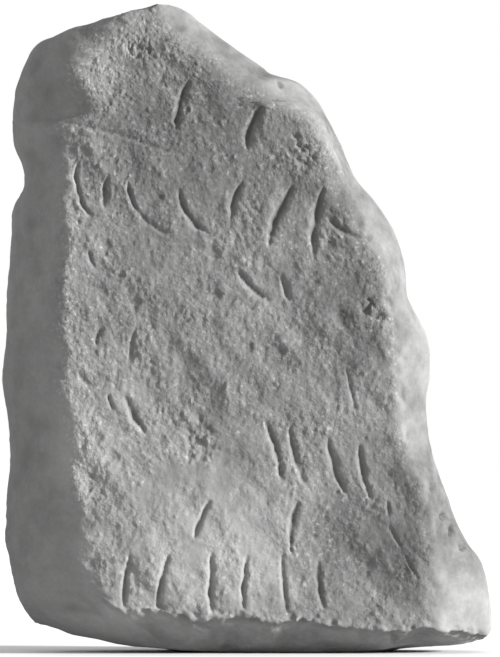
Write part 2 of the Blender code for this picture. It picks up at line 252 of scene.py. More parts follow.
# Noise of the weathering: (size of its largest lumps in metres, layers, seed).
ROUGH_NOISE = (0.008, 2, 21)
RAGGED_NOISE = (0.0036, 2, 26)
BROAD_NOISE = (0.070, 3, 31)
DINT_NOISE = (0.018, 2, 36)
GRAIN_NOISE = (0.0052, 3, 41)
CRUMB_NOISE = (0.008, 2, 76)
COARSE_NOISE = (0.024, 3, 81)
CRUMBLE_NOISE = (0.0065, 2, 96)
CRUMBLE_PATCHES = (0.045, 1, 98)
REAR_NOISE = (0.085, 2, 131)
BEVEL_NOISE = (0.042, 3, 142)

# Pits: (share of the pit depth, spacing in metres, share of the places that have one, seed). The last
# kind stands out, as lumps do. Nibbles are the same without the first value, and share their depth with
# crumbs. Radii are shares of the spacing.
PITS = (
    (0.8, 0.0055, 0.75, 51),
    (1.6, 0.0160, 0.35, 61),
    (-1.2, 0.0062, 0.60, 56),
)
NIBBLES = (0.0100, 0.85, 71)
NIBBLE_SHARE = 0.4
CRUMB_SHARE = 0.6
SMALLEST_RADIUS = 0.18
LARGEST_RADIUS = 0.50

# Heights of the weathering in metres, and the middle, spread, least and most of the crumbling.
BROAD_HEIGHT = 0.0012
DINT_HEIGHT = 0.0010
REAR_HEIGHT = 0.0022
CRUMBLE_HEIGHT = 0.0015
CRUMBLING = (0.6, 0.9, 0.1, 1.4)

# Small shifts in metres that make the weathering irregular, and the share of them that the cuts follow.
WANDER = 0.002
WANDER_LUMP = 0.012
WANDER_SEEDS = (11, 12, 13)
CUT_WANDER = 0.3

# How far the relief takes to fade in above the base and the lower arris, how far the wear of the arrises
# reaches, and where the rear begins and fades in, in metres, and how uneven the edge of the face is.
UNEVEN_FADE = 0.35
BASE_FADE = 0.006
LOWER_FADE = 0.004
NIBBLE_REACH = 0.006
CRUMBLE_REACH = 0.008
REAR_START = -0.03
REAR_FADE = 0.06

# The band beneath fades in over some metres, the slower the further past the left arris, and the bevel
# over shares of the width.
BENEATH_FADE = 0.006
BENEATH_SLOWING = 1.2
BEVEL_START = 0.2
BEVEL_FADE = 0.3

# Coarseness of the grain: its middle, spread, least and most, then its share on the flanks, what the
# face, the band below it and the rear add to that, and the share that a cut takes away.
COARSENESS = (1.05, 0.45, 0.25, 1.8)
FLANK_GRAIN = 0.26
FACE_GRAIN = 0.74
BENEATH_GRAIN = 0.20
REAR_GRAIN = 0.40
CUT_SMOOTHNESS = 0.5

# Tone: mottling of the bevel, painted shade that darkens the brightly lit bevel, and painted light that
# makes the band below the lower arris paler.
BEVEL_MOTTLE = 0.23
BEVEL_PAINTED_SHADE = 0.10
BENEATH_PAINTED_LIGHT = 0.42

# Edge wear, and the painted shade of hollows, are seen between points some steps apart on the grid, and
# are full at some height in metres.
STANDING_STEPS = 5
STANDING_HEIGHT = 0.0016

# Noise of the finish: (lumps to the metre, detail, roughness), and how it or an attribute is read: (from,
# to, what from becomes, what to becomes).
PATCHES = (14.0, 5.0, 0.65), (0.30, 0.70, 0.86, 1.14)
MOTTLE = (300.0, 3.0, 0.6), (0.30, 0.70, -0.13, 0.13)
SPARKLE = (300.0, 1.0, 0.5), (0.62, 0.74, 0.0, 0.38)
CLOUDS = (45.0, 4.0, 0.7), (0.30, 0.70, -0.21, 0.21)
GLOSS = (160.0, 2.0, 0.5), (0.3, 0.7, 0.82, 0.97)
FINEST_GRAIN = (230.0, 2.0, 0.5)
# Raised edges are made paler as wear, and hollows darker as painted shade.
WEAR_AND_HOLLOW_SHADE = (-1.0, 1.0, 0.82, 1.15)
# The deepest parts of the cuts are darkened as painted shade.
CUT_PAINTED_SHADE = (0.45, 0.95, 1.0, 0.68)
STONE_SPECULAR = 0.25

# Floor and lamp: metres, sides of the floor's rim and roughness of the floor.
FLOOR_RADIUS = 12.0
FLOOR_SIDES = 96
FLOOR_ROUGHNESS = 0.8
KEY_DISTANCE = 3.0

# Large numbers, with shifts, that mix the bits of a cell, of a seed and of the mix, and the largest mix.
CELL_MIXERS = (73856093, 19349663, 83492791)
SEED_MIXER = 2654435761
BIT_MIXERS = ((15, 2246822519), (13, 3266489917))
LAST_SHIFT = 16
LARGEST = 0xFFFFFFFF

# Single scratches and gouges: (across, up, length share, lean, bow, width, depth in metres).
SCRATCHES = (
    (0.714, 0.403, 0.075, -14, 0.0, 0.0050, 0.0020),
    (0.788, 0.224, 0.024, -5, 0.0, 0.0060, 0.0026),
    (0.801, 0.182, 0.040, -31, 0.1, 0.0048, 0.0019),
    (0.836, 0.133, 0.044, -29, 0.0, 0.0050, 0.0021),
    (0.175, 0.426, 0.034, -48, 0.3, 0.0100, 0.0026),
    (0.203, 0.486, 0.031, 12, 0.2, 0.0110, 0.0032),
    (0.268, 0.472, 0.078, 11, 0.1, 0.0070, 0.0016),
    (0.187, 0.608, 0.030, -25, 0.1, 0.0090, 0.0026),
    (0.275, 0.545, 0.020, -70, 0.1, 0.0050, 0.0014),
    (0.312, 0.668, 0.070, -54, 0.5, 0.0085, 0.0022),
    (0.235, 0.797, 0.165, -74, -0.3, 0.0080, 0.0016),
)

# Worn hollows: (across, up, half width, half height as shares, depth in metres).
HOLLOWS = (
    (0.276, 0.930, 0.026, 0.015, 0.0019),
    (0.597, 0.794, 0.010, 0.006, 0.0022),
    (0.612, 0.781, 0.018, 0.008, 0.0030),
    (0.647, 0.780, 0.010, 0.009, 0.0030),
    (0.630, 0.770, 0.011, 0.006, 0.0024),
    (0.624, 0.757, 0.010, 0.005, 0.0020),
    (0.620, 0.775, 0.040, 0.027, 0.0010),
    (0.741, 0.532, 0.014, 0.016, 0.0026),
    (0.768, 0.520, 0.012, 0.010, 0.0024),
    (0.790, 0.537, 0.010, 0.008, 0.0020),
    (0.437, 0.551, 0.012, 0.009, 0.0018),
    (0.502, 0.471, 0.009, 0.010, 0.0017),
    (0.566, 0.876, 0.006, 0.005, 0.0026),
    (0.406, 0.326, 0.030, 0.034, 0.0014),
    (0.901, 0.210, 0.007, 0.006, 0.0044),
    (0.914, 0.189, 0.008, 0.009, 0.0048),
    (0.876, 0.257, 0.008, 0.008, 0.0024),
    (0.936, 0.163, 0.007, 0.006, 0.0040),
    (0.800, 0.024, 0.008, 0.008, 0.0024),
)
HOLLOW_FLATNESS = 1.1

# Patches of rougher and smoother grain: (across, up, half width, half height, rougher by).
ROUGH_PATCHES = (
    (0.170, 0.860, 0.090, 0.110, 0.25),
    (0.150, 0.450, 0.060, 0.220, 0.35),
    (0.170, 0.160, 0.050, 0.090, 0.20),
    (0.420, 0.180, 0.220, 0.140, -0.30),
    (0.790, 0.200, 0.080, 0.120, -0.35),
    (0.640, 0.770, 0.060, 0.040, 0.40),
    (0.450, 0.820, 0.160, 0.090, -0.20),
)

# Broad patches of paler and darker stone, partly real tone and partly painted light and painted shade
# that stand in for the face's shading: (across, up, half width, half height, paler by).
TONE_AND_SHADING_PATCHES = (
    (0.440, 0.140, 0.140, 0.090, 0.44),
    (0.300, 0.267, 0.160, 0.140, 0.18),
    (0.260, 0.130, 0.090, 0.060, 0.10),
    (0.190, 0.170, 0.030, 0.040, 0.20),
    (0.170, 0.350, 0.070, 0.090, 0.32),
    (0.145, 0.760, 0.030, 0.040, 0.18),
    (0.236, 0.928, 0.024, 0.016, 0.24),
    (0.740, 0.230, 0.050, 0.050, 0.18),
    (0.750, 0.390, 0.040, 0.040, 0.26),
    (0.480, 0.620, 0.050, 0.030, 0.22),
    (0.370, 0.785, 0.170, 0.100, -0.42),
    (0.420, 0.910, 0.090, 0.050, -0.24),
    (0.530, 0.865, 0.080, 0.040, -0.20),
    (0.290, 0.925, 0.030, 0.020, -0.22),
    (0.300, 0.640, 0.120, 0.080, -0.16),
    (0.620, 0.700, 0.110, 0.110, -0.18),
    (0.700, 0.690, 0.040, 0.050, -0.28),
    (0.715, 0.540, 0.080, 0.110, -0.38),
    (0.520, 0.415, 0.130, 0.060, -0.22),
    (0.670, 0.150, 0.080, 0.100, -0.40),
    (0.820, 0.180, 0.060, 0.090, -0.32),
    (0.540, 0.065, 0.080, 0.020, -0.24),
    (0.260, 0.820, 0.050, 0.040, -0.26),
    (0.220, 0.480, 0.080, 0.060, -0.16),
    (0.150, 0.920, 0.030, 0.030, -0.20),
    (0.030, 0.280, 0.050, 0.130, -0.14),
    (0.920, 0.190, 0.050, 0.050, -0.22),
    (0.890, 0.270, 0.040, 0.050, -0.16),
    (0.940, 0.070, 0.060, 0.050, 0.26),
    (0.818, 0.452, 0.018, 0.040, 0.28),
    (0.805, 0.540, 0.020, 0.025, 0.12),
    (0.720, 0.735, 0.016, 0.025, 0.32),
    (0.645, 0.850, 0.024, 0.020, 0.26),
    (0.760, 0.020, 0.130, 0.020, 0.16),
    (0.430, 0.018, 0.260, 0.030, -0.32),
    (0.090, 0.075, 0.080, 0.045, 0.24),
)


def follow(points, place):
    """Read a smooth curve through (place, value) points: cubic pieces with one slope at each point."""
    places, values = np.array(points, dtype=float).T
    slopes = np.gradient(values, places)
    place = np.clip(place, places[0], places[-1])
    piece = np.clip(np.searchsorted(places, place, side="right") - 1, 0, len(places) - 2)
    step = places[piece + 1] - places[piece]
    share = (place - places[piece]) / step
    rest = 1.0 - share
    start = values[piece] * (1.0 + 2.0 * share) + slopes[piece] * step * share
    end = values[piece + 1] * (3.0 - 2.0 * share) - slopes[piece + 1] * step * rest
    return start * rest ** 2 + end * share ** 2


def bell_curves(bells, across, up):
    """Sum of bell curves over the face, each with its middle, its half width and height, and its rise."""
    total = np.zeros(np.broadcast(across, up).shape)
    for middle_across, middle_up, half_width, half_height, rise in bells:
        reach = ((across - middle_across) / half_width) ** 2 + ((up - middle_up) / half_height) ** 2
        total = total + rise * np.exp(-reach)
    return total


def face_forward(across, up):
    """How far the face stands in front of its plane: bell curves, less a roll back at the peak."""
    forward = bell_curves(FACE_SWELLS, across, up)
    near_peak = np.clip((up - PEAK_ROLL_START) / (1.0 - PEAK_ROLL_START), 0.0, 1.0)
    return forward - PEAK_ROLL * near_peak ** 2


def line_noise(place, seed):
    """Smooth noise along a line, in lumps of three sizes, at a distance along it in metres."""
    level = np.zeros_like(place)
    return layered(np.stack((place, level, level), axis=-1), ARRIS_LUMP, ARRIS_LAYERS, seed)


def side_arris(points, up, seed):
    """Share across of a side arris: its curve and a wander that dies out towards the peak."""
    wander = SIDE_WANDER / WIDTH * np.clip((1.0 - up) / STEADY_PEAK, 0.0, 1.0)
    return follow(points, up) + wander * line_noise(up * HEIGHT, seed)


def left_outline(up):
    """Share across of the left outline."""
    return follow(LEFT_OUTLINE, up)


def left_arris(up):
    """Share across of the left arris of the face."""
    return side_arris(LEFT_ARRIS, up, LEFT_ARRIS_SEED)


def right_arris(up):
    """Share across of the right arris of the face."""
    return side_arris(RIGHT_ARRIS, up, RIGHT_ARRIS_SEED)


def right_outline(up):
    """Share across of the right outline."""
    return follow(RIGHT_OUTLINE, up)


def lower_arris(across):
    """Share up of the lower arris of the face: its curve and a small wander."""
    wander = LOWER_WANDER / HEIGHT * line_noise(across * WIDTH, LOWER_ARRIS_SEED)
    return follow(LOWER_ARRIS, across) + wander


def ring_height(level, across):
    """Height share of a ring: level 0 is the foot line, 1 the lower arris, 2 a level ring, 3 the peak."""
    foot = follow(FOOT_LINE, across)
    arris = lower_arris(across)
    band = foot + (arris - foot) * level
    lower_face = arris + (LEVEL_RING - arris) * (level - 1.0)
    upper_face = LEVEL_RING + (1.0 - LEVEL_RING) * (level - 2.0) + 0.0 * across
    return np.where(level < 1.0, band, np.where(level < 2.0, lower_face, upper_face))


def at_height(line, level, guess):
    """Read a line of the height where a ring crosses it: at the guess, then at the place that gives."""
    place = line(ring_height(level, np.full_like(level, guess)))
    return line(ring_height(level, place))


def bend(start, corner, end, shares):
    """Points on the quadratic curve from start to end that is pulled towards the corner."""
    rest = 1.0 - shares
    return start * rest ** 2 + corner * 2.0 * rest * shares + end * shares ** 2


def flank(outline, outline_behind, arris, arris_behind, corner_behind, shares):
    """Points of a flank: it curves from the outline (share 0) forward and in to the arris (share 1)."""
    across = bend(outline, outline, arris, shares)
    return across, bend(outline_behind, corner_behind, arris_behind, shares)


def half_round(left, left_behind, right, right_behind, back, columns):
    """Points of the back: half a superellipse from the right outline round to the left outline."""
    angle = np.linspace(0.0, math.pi, columns + 1)[None, :-1]
    power = 2.0 / BACK_SQUARENESS
    swing = np.sign(np.cos(angle)) * np.abs(np.cos(angle)) ** power
    side_behind = right_behind + (left_behind - right_behind) * angle / math.pi
    across = 0.5 * (left + right) + 0.5 * (right - left) * swing
    return across, side_behind + (back - side_behind) * np.sin(angle) ** power


def turning(rounding, face_width, flank_columns):
    """How far a bend reaches on to the face, as a share, and the shares of the flank before it."""
    turn = np.minimum(rounding / WIDTH, LARGEST_TURN * face_width)
    straight = 1.0 - np.minimum(rounding / (0.5 * DEPTH), LARGEST_TURN)
    return turn, np.linspace(0.0, 1.0, flank_columns + 1)[None, :] * straight


def rings(levels):
    """Across, behind and up of every ring point, as arrays with one row for each level.

    A ring is six stretches: the left flank curves from the left outline to the arris, a short bend
    turns it on to the face, the face crosses to the right arris, a bend and the right flank lead to
    the right outline, and half a superellipse closes the back.
    """
    # Each line is first looked for at some share across.
    level = np.asarray(levels, dtype=float)[:, None]
    left, left_edge, right_edge, right = (at_height(line, level, guess) for line, guess in (
        (left_outline, 0.03), (left_arris, 0.20), (right_arris, 0.87), (right_outline, 0.98)))

    below = np.clip(1.0 - level, 0.0, 1.0)
    band = BAND_SETBACK * below
    eased = below ** 2 * (1.0 + EASING) / (below + EASING)
    tucked = DEPTH * (1.0 - FOOT_TUCK * eased)
    left_behind = band * below + tucked * follow(LEFT_SIDE_SETBACK, ring_height(level, left))
    right_behind = band + tucked * follow(RIGHT_SIDE_SETBACK, ring_height(level, right))
    back = DEPTH * follow(BACK_SETBACK, ring_height(level, 0.5 * (left + right))) - FOOT_TUCK * band

    def face_behind(across):
        return band - face_forward(across, ring_height(level, across))

    face_width = right_edge - left_edge
    left_rounding = follow(LEFT_ROUNDING, ring_height(level, left_edge)) + FLANK_ROUNDING * eased
    right_rounding = follow(RIGHT_ROUNDING, ring_height(level, right_edge)) + FLANK_ROUNDING * eased
    left_turn, left_shares = turning(left_rounding, face_width, LEFT_FLANK_COLUMNS)
    right_turn, right_shares = turning(right_rounding, face_width, RIGHT_FLANK_COLUMNS)
    bend_shares = np.linspace(0.0, 1.0, CORNER_COLUMNS + 1)[None, :]
    face_shares = np.linspace(0.0, 1.0, FACE_COLUMNS + 1)[None, :]

    left_edge_behind = face_behind(left_edge)
    right_edge_behind = face_behind(right_edge)
    soft_edge_behind = left_edge_behind + BAND_SETBACK * (eased - below)
    left_corner = soft_edge_behind + LEFT_FLANK_PULL * (left_behind - soft_edge_behind)
    right_corner = right_edge_behind + RIGHT_FLANK_PULL * (right_behind - right_edge_behind)
    left_flank = flank(left, left_behind, left_edge, left_edge_behind, left_corner, left_shares)
    right_flank = flank(right, right_behind, right_edge, right_edge_behind, right_corner,
                        right_shares[:, ::-1])
    face = left_edge + left_turn + (face_width - left_turn - right_turn) * face_shares
    face_depth = face_behind(face)
    left_bend = (bend(left_flank[0][:, -1:], left_edge, face[:, :1], bend_shares),
                 bend(left_flank[1][:, -1:], left_edge_behind, face_depth[:, :1], bend_shares))
    right_bend = (bend(face[:, -1:], right_edge, right_flank[0][:, :1], bend_shares),
                  bend(face_depth[:, -1:], right_edge_behind, right_flank[1][:, :1], bend_shares))
    round_back = half_round(left, left_behind, right, right_behind, back, BACK_COLUMNS)

    # Each stretch ends where the next begins, so its last point is left to the next.
    stretches = (left_flank, left_bend, (face, face_depth), right_bend, right_flank)
    across = np.hstack([stretch[0][:, :-1] for stretch in stretches] + [round_back[0]])
    behind = np.hstack([stretch[1][:, :-1] for stretch in stretches] + [round_back[1]])
    return np.stack((across, behind, ring_height(level, across)), axis=-1)


def ring_levels():
    """Levels of the rings: nearly even at first, then above the level ring closer where arrises lean."""
    band = np.linspace(0.0, 1.0, BAND_ROWS, endpoint=False)
    lower = 1.0 + np.linspace(0.0, 1.0, LOWER_ROWS, endpoint=False) ** LOWER_CROWDING
    share = np.linspace(0.0, 1.0, 4 * UPPER_ROWS)
    height = LEVEL_RING + (1.0 - LEVEL_RING) * share
    lean = sum(np.abs(np.gradient(follow(arris, height), height)) for arris in (LEFT_ARRIS, RIGHT_ARRIS))
    length = np.cumsum(1.0 + LEAN_CROWDING * lean)
    even = np.linspace(length[0], length[-1], UPPER_ROWS, endpoint=False)
    return np.concatenate((band, lower, 2.0 + np.interp(even, length, share)))


def underside(foot):
    """Rings of the underside: the foot ring drawn in, row by row, to the rim of the flat base."""
    across, behind = foot[:, 0], foot[:, 1]
    low, high = across.min(), across.max()
    front, back = behind.min(), behind.max()
    rim_across = BASE_LEFT + (BASE_RIGHT - BASE_LEFT) * (across - low) / (high - low)
    rim_front = front + BASE_FRONT_INSET
    rim_back = back - BASE_BACK_INSET
    rim_behind = rim_front + (rim_back - rim_front) * (behind - front) / (back - front)
    rim = np.stack((rim_across, rim_behind, np.zeros_like(across)), axis=-1)
    share = np.linspace(0.0, 1.0, BASE_ROWS, endpoint=False)[:, None, None]
    return rim + (foot - rim) * share ** np.array((1.0, 1.0, UNDERSIDE_RISE))


def plain_slab():
    """Grid of the bare slab in metres, fitted to the box of its solid, with the point of its peak."""
    body = rings(ring_levels())
    grid = np.concatenate((underside(body[0]), body))
    peak = np.array((body[-1, :, 0].mean(), body[-1, :, 1].mean(), 1.0))
    every = np.vstack((grid.reshape(-1, 3), peak))
    low = every.min(axis=0)
    size = every.max(axis=0) - low
    return LOW + (grid - low) / size * (HIGH - LOW), LOW + (peak - low) / size * (HIGH - LOW)


def outward(grid):
    """Unit normals of a grid of rings, from the cross product of the steps along and across them."""
    along = np.roll(grid, -1, axis=1) - np.roll(grid, 1, axis=1)
    upward = np.gradient(grid, axis=0)
    normal = np.cross(along, upward)
    return normal / np.maximum(np.linalg.norm(normal, axis=-1, keepdims=True), 1e-12)


def scatter(cells, seed):
    """A number from 0 to 1 for each whole-numbered cell, the same on every run, by mixing its bits."""
    first, second, third = (cells[..., axis] * mixer for axis, mixer in enumerate(CELL_MIXERS))
    mixed = (first ^ second ^ third ^ (seed * SEED_MIXER)) & LARGEST
    for shift, mixer in BIT_MIXERS:
        mixed = ((mixed ^ (mixed >> shift)) * mixer) & LARGEST
    return (mixed ^ (mixed >> LAST_SHIFT)) / LARGEST


def unevenness(points, size, seed):
    """Smooth noise from -1 to 1: random numbers at the corners of cells of one size, blended between."""
    place = points / size
    cells = np.floor(place).astype(np.int64)
    share = place - cells
    blend = share * share * (3.0 - 2.0 * share)
    total = np.zeros(points.shape[:-1])
    for corner in np.ndindex(2, 2, 2):
        corner = np.array(corner)
        weight = np.prod(np.where(corner == 1, blend, 1.0 - blend), axis=-1)
        total += weight * scatter(cells + corner, seed)
    return 2.0 * total - 1.0


def layered(points, size, layers, seed):
    """Noise of several sizes, each half the size and strength of the one before."""
    total = 0.0
    for layer in range(layers):
        total = total + 0.5 ** layer * unevenness(points, size * 0.5 ** layer, seed + layer)
    return total


def pitting(points, spacing, share, seed):
    """Depth from 0 to 1 of round pits: each cell may have one, at a random place and of a random size."""
    place = points / spacing
    cells = np.floor(place).astype(np.int64)
    depth = np.zeros(points.shape[:-1])
    for offset in np.ndindex(3, 3, 3):
        cell = cells + np.array(offset) - 1
        middle = cell + np.stack([scatter(cell, seed + axis) for axis in range(3)], axis=-1)
        radius = SMALLEST_RADIUS + (LARGEST_RADIUS - SMALLEST_RADIUS) * scatter(cell, seed + 3) ** 2
        there = scatter(cell, seed + 4) < share
        reach = np.linalg.norm(place - middle, axis=-1) / radius
        bowl = np.where(there, np.clip(1.0 - reach ** 2, 0.0, 1.0), 0.0) * radius / LARGEST_RADIUS
        depth = np.maximum(depth, bowl)
    return depth


def ripples(grid, seed):
    """Smooth noise drawn out along the ripples' lean, so that it makes low ridges and troughs."""
    turn = math.radians(RIPPLE_LEAN)
    along = grid[..., 0] * math.cos(turn) - grid[..., 2] * math.sin(turn)
    aside = grid[..., 0] * math.sin(turn) + grid[..., 2] * math.cos(turn)
    behind = grid[..., 1]
    drawn = np.stack((along / RIPPLE_LENGTH, aside / RIPPLE_WIDTH, behind / RIPPLE_LENGTH), axis=-1)
    return unevenness(drawn, 1.0, seed) + 0.5 * unevenness(drawn * 2.0, 1.0, seed + 1)


def groove(across, up, stroke, rough):
    """Depth from 0 to 1 of a bowed groove: its left wall steepens down to it, its right wall eases out.

    The place along the groove and the place across it are measured in its half length and half width.
    The groove narrows and grows shallow towards its ends, and rough makes its line and edges uneven.
    """
    middle_across, middle_up, length, lean, bow, width = stroke
    turn = math.radians(lean)
    step_across = (across - middle_across) * WIDTH
    step_up = (up - middle_up) * HEIGHT
    along = (step_across * math.sin(turn) + step_up * math.cos(turn)) / (0.5 * length * HEIGHT)
    sideways = step_across * math.cos(turn) - step_up * math.sin(turn)
    within = np.clip(1.0 - np.abs(along + UNEVEN_ENDS * rough) ** END_SHARPNESS, 0.0, 1.0)
    half_width = 0.5 * width * (END_WIDTH + (1.0 - END_WIDTH) * within ** NARROWING)
    sideways = (sideways + bow * (1.0 - np.clip(along, -1.0, 1.0) ** 2) * width) / half_width
    sideways = sideways + UNEVEN_EDGES * rough
    left_wall = np.clip((sideways + 1.0) / (1.0 + DEEPEST), 0.0, 1.0) ** LEFT_WALL_POWER
    right_wall = np.clip((1.0 - sideways) / (1.0 - DEEPEST), 0.0, 1.0) ** RIGHT_WALL_POWER
    section = np.where(sideways < DEEPEST, left_wall, right_wall)
    return section * within ** SHALLOWING * (1.0 + UNEVEN_DEPTH * rough)


def strokes_relief(across, up, rough, settings):
    """Depth in metres of every cut stroke and scratch at places on the face."""
    width, depth = settings.stroke_width, settings.stroke_depth
    cut = np.zeros(across.shape)
    for height, fall, strokes in STROKE_ROWS:
        for place, length, lean, bow, own_width in strokes:
            stroke = (place, height - fall * place, length * STROKE_STRETCH, lean, bow, width * own_width)
            own_depth = depth * (0.5 + 0.5 * own_width)
            cut = np.maximum(cut, own_depth * groove(across, up, stroke, rough))
    for place, height, length, lean, bow, scratch_width, scratch_depth in SCRATCHES:
        stroke = (place, height, length, lean, bow, scratch_width)
        cut = np.maximum(cut, scratch_depth * groove(across, up, stroke, rough))
    return cut


def hollows_relief(across, up, ragged):
    """Depth in metres of the worn hollows: bowls whose rims and floors ragged makes uneven."""
    cut = np.zeros(across.shape)
    for middle_across, middle_up, half_width, half_height, depth in HOLLOWS:
        reach = ((across - middle_across) / half_width) ** 2 + ((up - middle_up) / half_height) ** 2
        cut = np.maximum(cut, depth * np.clip(HOLLOW_FLATNESS - reach + ragged, 0.0, 1.0))
    return cut


def zones(grid, across, up, rough):
    """Where each point lies, as shares from 0 to 1 that fade into each other.

    The front is all but the round back. On it are the carved face, whose edge rough makes uneven, the
    strips beside its arrises and beside its lower arris alone, and the band beneath it. The bevel is what
    lies beyond the face on the right, and the rear is the back half of the stone.
    """
    front_columns = LEFT_FLANK_COLUMNS + 2 * CORNER_COLUMNS + FACE_COLUMNS + RIGHT_FLANK_COLUMNS
    front = np.arange(grid.shape[1]) < front_columns
    from_left, from_right, from_below = inside_arrises(across, up)
    inside = np.minimum(from_left / follow(LEFT_ROUNDING, up), from_below / LOWER_FADE)
    inside = np.minimum(inside, from_right / (0.5 * follow(RIGHT_ROUNDING, up)))
    inside = inside + bell_curves(GRAINY_EDGES, across, up)
    carved = front * np.clip(inside + UNEVEN_FADE * rough + 0.5, 0.0, 1.0)

    past_left = np.minimum(from_left, 0.0)
    past_foot = np.minimum(from_below, 0.0)
    near_side = np.hypot(np.minimum(np.abs(from_left), np.abs(from_right)), past_foot)
    near_foot = np.hypot(from_below, past_left)
    return SimpleNamespace(
        front=front,
        carved=carved,
        arrises=front * np.exp(-(np.minimum(near_side, near_foot) / NIBBLE_REACH) ** 2),
        lower_arris=front * np.exp(-(near_foot / CRUMBLE_REACH) ** 2),
        beneath=front * np.clip(-from_below / (BENEATH_FADE - BENEATH_SLOWING * past_left), 0.0, 1.0),
        bevel=(1.0 - carved) * np.clip((across - BEVEL_START) / BEVEL_FADE, 0.0, 1.0),
        rear=np.clip((grid[..., 1] - REAR_START) / REAR_FADE, 0.0, 1.0),
    )


def coarseness(grid, across, up, zone, carving):
    """How coarse the grain is at each point: in patches, and finer beyond the face and in the cuts."""
    middle, spread, least, most = COARSENESS
    patches = middle + bell_curves(ROUGH_PATCHES, across, up) + spread * layered(grid, *COARSE_NOISE)
    share = FLANK_GRAIN + FACE_GRAIN * zone.carved + BENEATH_GRAIN * zone.beneath + REAR_GRAIN * zone.rear
    return np.clip(patches, least, most) * share * (1.0 - CUT_SMOOTHNESS * carving)


def pits_relief(wandered, grainy, settings):
    """Depth in metres of the pits of the grain, less its lumps."""
    return settings.pit_depth * grainy * sum(share * pitting(wandered, *pits) for share, *pits in PITS)


def nibbles_relief(grid, wandered, zone, settings):
    """Depth in metres of the nibbles and crumbs that the arrises have lost."""
    nibbles = pitting(wandered, *NIBBLES)
    crumbs = np.clip(layered(grid, *CRUMB_NOISE), 0.0, 1.0)
    return settings.nibble_depth * zone.arrises * (NIBBLE_SHARE * nibbles + CRUMB_SHARE * crumbs)


def ripples_relief(wandered, zone):
    """Height in metres of the ripples, which the face has most of, and of the dints of the front."""
    rippled = RIPPLE_HEIGHT * ripples(wandered, RIPPLE_SEED)
    share = RIPPLES_BEYOND + (1.0 - RIPPLES_BEYOND) * zone.carved
    return zone.front * (rippled * share + DINT_HEIGHT * layered(wandered, *DINT_NOISE))


def crumbling_relief(grid, zone):
    """Height in metres of the crumbling along the lower arris, which comes and goes along it."""
    middle, spread, least, most = CRUMBLING
    strength = np.clip(middle + spread * layered(grid, *CRUMBLE_PATCHES), least, most)
    return CRUMBLE_HEIGHT * zone.lower_arris * layered(grid, *CRUMBLE_NOISE) * strength


def tone_and_painted_shading(wandered, across, up, zone):
    """How much paler or darker each point is: patches of tone and of painted light and shade, a mottled
    bevel darkened by painted shade, and a band below the face made pale by painted light.
    """
    patches = bell_curves(TONE_AND_SHADING_PATCHES, across, up) * np.maximum(zone.carved, 1.0 - zone.rear)
    # The bevel's mottle less painted shade, and painted light on the band beneath.
    mottle = BEVEL_MOTTLE * layered(wandered, *BEVEL_NOISE) - BEVEL_PAINTED_SHADE
    return patches + zone.bevel * mottle + BENEATH_PAINTED_LIGHT * zone.beneath


def weathered_slab(settings):
    """Grid of the finished slab: the bare slab moved along its normals by its relief, and what it shows.

    The relief is broad unevenness and grain everywhere, nibbles and crumbling at the arrises, ripples,
    dints and hollows on the front, and strokes on the face. It fades to nothing at the flat base. The
    slab shows numbers for the finish at each point. The bevel is plain, and the left flank half so.
    """
    grid, peak = plain_slab()
    across = (grid[..., 0] - LOW[0]) / WIDTH
    up = (grid[..., 2] - LOW[2]) / HEIGHT
    wander = np.stack([unevenness(grid, WANDER_LUMP, seed) for seed in WANDER_SEEDS], axis=-1) * WANDER
    wandered = grid + wander
    rough = layered(grid, *ROUGH_NOISE)
    ragged = layered(grid, *RAGGED_NOISE)
    zone = zones(grid, across, up, rough)

    cut = strokes_relief(across + wander[..., 0] * CUT_WANDER / WIDTH, up, rough, settings) * zone.carved
    hollow = hollows_relief(across + wander[..., 0] / WIDTH, up + wander[..., 2] / HEIGHT, ragged)
    carving = np.clip(cut / settings.stroke_depth, 0.0, 1.0)
    grainy = coarseness(grid, across, up, zone, carving)
    inward = cut + hollow * zone.front + pits_relief(wandered, grainy, settings)
    inward = inward + nibbles_relief(grid, wandered, zone, settings)
    grain = settings.grain_height * layered(grid, *GRAIN_NOISE) * grainy
    relief = BROAD_HEIGHT * layered(wandered, *BROAD_NOISE) + grain - inward
    relief = relief + ripples_relief(wandered, zone)
    relief = relief + REAR_HEIGHT * zone.rear * layered(grid, *REAR_NOISE)
    relief = relief + crumbling_relief(grid, zone)
    grounded = np.clip(grid[..., 2] / BASE_FADE, 0.0, 1.0)
    finished = grid + outward(grid) * (relief * grounded)[..., None]
    shown = {
        "grainy": grainy,
        "carving": carving,
        # Tone, with painted light and painted shade in it.
        "tone_with_painted_shading": tone_and_painted_shading(wandered, across, up, zone),
        "plain": 0.5 * (1.0 - zone.carved) + 0.5 * zone.bevel,
        # Paler worn edges, and painted shade in hollows.
        "wear_and_hollow_shade": edges_and_hollows(finished),
    }
    return finished, peak, shown


def inside_arrises(across, up):
    """Distances in metres from the left, right and lower arris, positive on the side of the face."""
    from_left = (across - left_arris(up)) * WIDTH
    from_right = (right_arris(up) - across) * WIDTH
    from_below = (up - lower_arris(across)) * HEIGHT
    return from_left, from_right, from_below


def edges_and_hollows(grid):
    """How far each point stands out from those about 8 mm away, from -1 in a hollow to 1 on an edge; the
    finish makes edges paler as wear and hollows darker as painted shade.
    """
    near = np.zeros_like(grid)
    for shift in (-STANDING_STEPS, STANDING_STEPS):
        near += np.roll(grid, shift, axis=1)
        near += grid[np.clip(np.arange(len(grid)) + shift, 0, len(grid) - 1)]
    normal = outward(grid)
    standing = np.einsum("ijk,ijk->ij", grid - near / 4.0, normal)
    return np.clip(standing / STANDING_HEIGHT, -1.0, 1.0)


